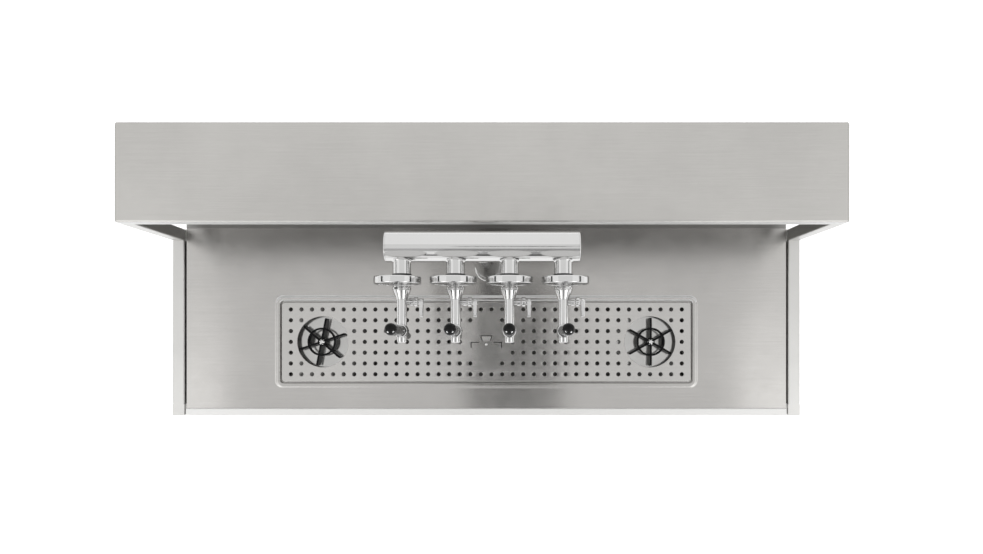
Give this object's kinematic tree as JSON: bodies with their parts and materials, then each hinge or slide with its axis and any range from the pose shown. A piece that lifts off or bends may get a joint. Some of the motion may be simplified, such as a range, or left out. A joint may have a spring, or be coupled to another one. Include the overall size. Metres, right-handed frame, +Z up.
{
  "type": "beer dispensing counter",
  "caption": "Steel bar counter with a raised shelf, a drip tray with a perforated grille and glass rinsers, and a T-shaped tower of flow control taps.",
  "frame": {"origin": "on the floor under the middle of the counter's box", "axes": "+X to the operator's right along the counter, +Y from the operator to the customer, +Z up"},
  "size_m": [1.6, 0.665, 1.492],
  "materials": {
    "brushed_steel": "brushed",
    "frame_steel": "satin",
    "polished_steel": "polished",
    "machined_steel": "machined",
    "grey_plastic": "moulded",
    "black_gloss": "gloss",
    "black_matte": "moulded",
    "black_rubber": "matte"
  },
  "bodies": {
    "counter": {"bar_shelf": "brushed_steel", "worktop": "brushed_steel", "splash_panel": "brushed_steel", "customer_panel": "brushed_steel", "left_side_panel": "brushed_steel", "right_side_panel": "brushed_steel", "bottom_shelf": "brushed_steel", "drip_tray": "brushed_steel", "front_posts": "frame_steel", "rear_posts": "frame_steel", "upper_side_rails": "frame_steel", "lower_side_rails": "frame_steel", "upper_cross_rails": "frame_steel", "lower_cross_rails": "frame_steel", "worktop_bearers": "frame_steel", "shelf_arms": "frame_steel", "shelf_beam": "frame_steel", "shelf_brackets": "frame_steel", "backing_plate": "frame_steel", "tower": "polished_steel", "manifold_caps": "polished_steel", "tower_collar": "polished_steel", "tap_discs": "polished_steel", "coupling_nuts": "polished_steel", "spouts": "polished_steel", "pivot_pins": "polished_steel", "tap_body_1": "polished_steel", "tap_body_2": "polished_steel", "tap_body_3": "polished_steel", "tap_body_4": "polished_steel", "foot_lock_nuts": "machined_steel", "drain_outlet": "machined_steel", "rinser_valves": "machined_steel", "hose_barbs": "machined_steel", "clamp_nut": "machined_steel", "beer_lines": "machined_steel", "drain_nut": "grey_plastic", "rinser_nuts": "grey_plastic", "post_plugs": "black_matte", "levelling_feet": "black_matte", "tap_seals": "black_rubber", "line_bush": "black_rubber"},
    "grille": {"grille": "brushed_steel", "grille_grip": "polished_steel"},
    "left_rinser": {"left_rinser_star": "black_matte", "left_nozzle": "polished_steel"},
    "right_rinser": {"right_rinser_star": "black_matte", "right_nozzle": "polished_steel"},
    "handle_1": {"handle_stem_1": "polished_steel", "knob_1": "black_gloss"},
    "handle_2": {"handle_stem_2": "polished_steel", "knob_2": "black_gloss"},
    "handle_3": {"handle_stem_3": "polished_steel", "knob_3": "black_gloss"},
    "handle_4": {"handle_stem_4": "polished_steel", "knob_4": "black_gloss"},
    "flow_1": {"flow_lever_1": "polished_steel"},
    "flow_2": {"flow_lever_2": "polished_steel"},
    "flow_3": {"flow_lever_3": "polished_steel"},
    "flow_4": {"flow_lever_4": "polished_steel"}
  },
  "joints": [
    {"name": "grille_lift", "type": "slide", "parent": "counter", "child": "grille", "axis": [0, 0, 1], "range_m": [0, 0.06]},
    {"name": "left_rinser_press", "type": "slide", "parent": "counter", "child": "left_rinser", "axis": [0, 0, -1], "range_m": [0, 0.008], "stiffness_N_per_m": 1500, "springref_m": -0.002},
    {"name": "right_rinser_press", "type": "slide", "parent": "counter", "child": "right_rinser", "axis": [0, 0, -1], "range_m": [0, 0.008], "stiffness_N_per_m": 1500, "springref_m": -0.002},
    {"name": "handle_1_swing", "type": "hinge", "parent": "counter", "child": "handle_1", "pos_m": [-0.156, -0.1248, 1.35], "axis": [1, 0, 0], "range_deg": [-15, 40]},
    {"name": "handle_2_swing", "type": "hinge", "parent": "counter", "child": "handle_2", "pos_m": [-0.048, -0.1248, 1.35], "axis": [1, 0, 0], "range_deg": [-15, 40]},
    {"name": "handle_3_swing", "type": "hinge", "parent": "counter", "child": "handle_3", "pos_m": [0.06, -0.1248, 1.35], "axis": [1, 0, 0], "range_deg": [-15, 40]},
    {"name": "handle_4_swing", "type": "hinge", "parent": "counter", "child": "handle_4", "pos_m": [0.168, -0.1248, 1.35], "axis": [1, 0, 0], "range_deg": [-15, 40]},
    {"name": "flow_1_turn", "type": "hinge", "parent": "counter", "child": "flow_1", "pos_m": [-0.117, -0.0668, 1.333], "axis": [1, 0, 0], "range_deg": [-45, 45]},
    {"name": "flow_2_turn", "type": "hinge", "parent": "counter", "child": "flow_2", "pos_m": [-0.009, -0.0668, 1.333], "axis": [1, 0, 0], "range_deg": [-45, 45]},
    {"name": "flow_3_turn", "type": "hinge", "parent": "counter", "child": "flow_3", "pos_m": [0.099, -0.0668, 1.333], "axis": [1, 0, 0], "range_deg": [-45, 45]},
    {"name": "flow_4_turn", "type": "hinge", "parent": "counter", "child": "flow_4", "pos_m": [0.207, -0.0668, 1.333], "axis": [1, 0, 0], "range_deg": [-45, 45]}
  ]
}
